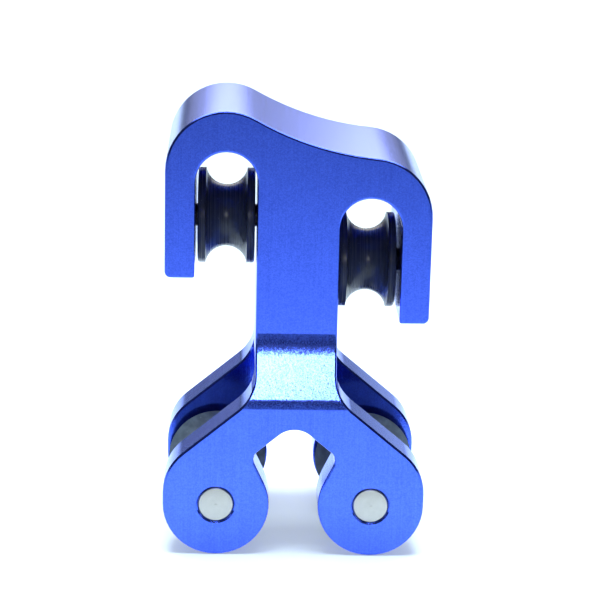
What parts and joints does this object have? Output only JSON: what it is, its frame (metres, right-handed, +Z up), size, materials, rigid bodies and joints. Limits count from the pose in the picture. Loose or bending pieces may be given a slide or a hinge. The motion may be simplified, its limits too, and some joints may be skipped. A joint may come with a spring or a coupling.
{
  "type": "roller cable slide",
  "caption": "Archery bow cable slide: milled aluminium body with two hooks that hold grooved cable rollers, and a forked foot whose grooved wheels roll along a round guard rod.",
  "frame": {"origin": "centre of the footprint, at the height of the surface that the lobes stand on", "axes": "+X to the right and along the guard rod, +Y from the front face to the back, along the cables, +Z up through the stem"},
  "size_m": [0.0262, 0.0198, 0.0448],
  "materials": {
    "blue_anodised": "sandblasted and blue anodised, satin",
    "black_polymer": "turned acetal, satin",
    "grey_black_polymer": "turned acetal, matt",
    "ground_steel": "ground dowel pin with faced ends",
    "blackened_steel": "black oxide"
  },
  "bodies": {
    "frame": {"body": "blue_anodised", "roller_axle_left": "blackened_steel", "roller_axle_right": "blackened_steel", "wheel_pin_left": "ground_steel", "wheel_pin_right": "ground_steel"},
    "cable_roller_left": {"cable_roller_left": "black_polymer"},
    "cable_roller_right": {"cable_roller_right": "black_polymer"},
    "rod_wheel_left": {"rod_wheel_left": "grey_black_polymer"},
    "rod_wheel_right": {"rod_wheel_right": "grey_black_polymer"}
  },
  "joints": [
    {"name": "cable_roller_left_spin", "type": "hinge", "parent": "frame", "child": "cable_roller_left", "pos_m": [-0.00708, 0, 0.03272], "axis": [1, 0, 0], "continuous": true},
    {"name": "cable_roller_right_spin", "type": "hinge", "parent": "frame", "child": "cable_roller_right", "pos_m": [0.00708, 0, 0.02835], "axis": [1, 0, 0], "continuous": true},
    {"name": "rod_wheel_left_spin", "type": "hinge", "parent": "frame", "child": "rod_wheel_left", "pos_m": [-0.00775, 0, 0.0053], "axis": [0, 1, 0], "continuous": true},
    {"name": "rod_wheel_right_spin", "type": "hinge", "parent": "frame", "child": "rod_wheel_right", "pos_m": [0.00775, 0, 0.0053], "axis": [0, 1, 0], "continuous": true}
  ]
}
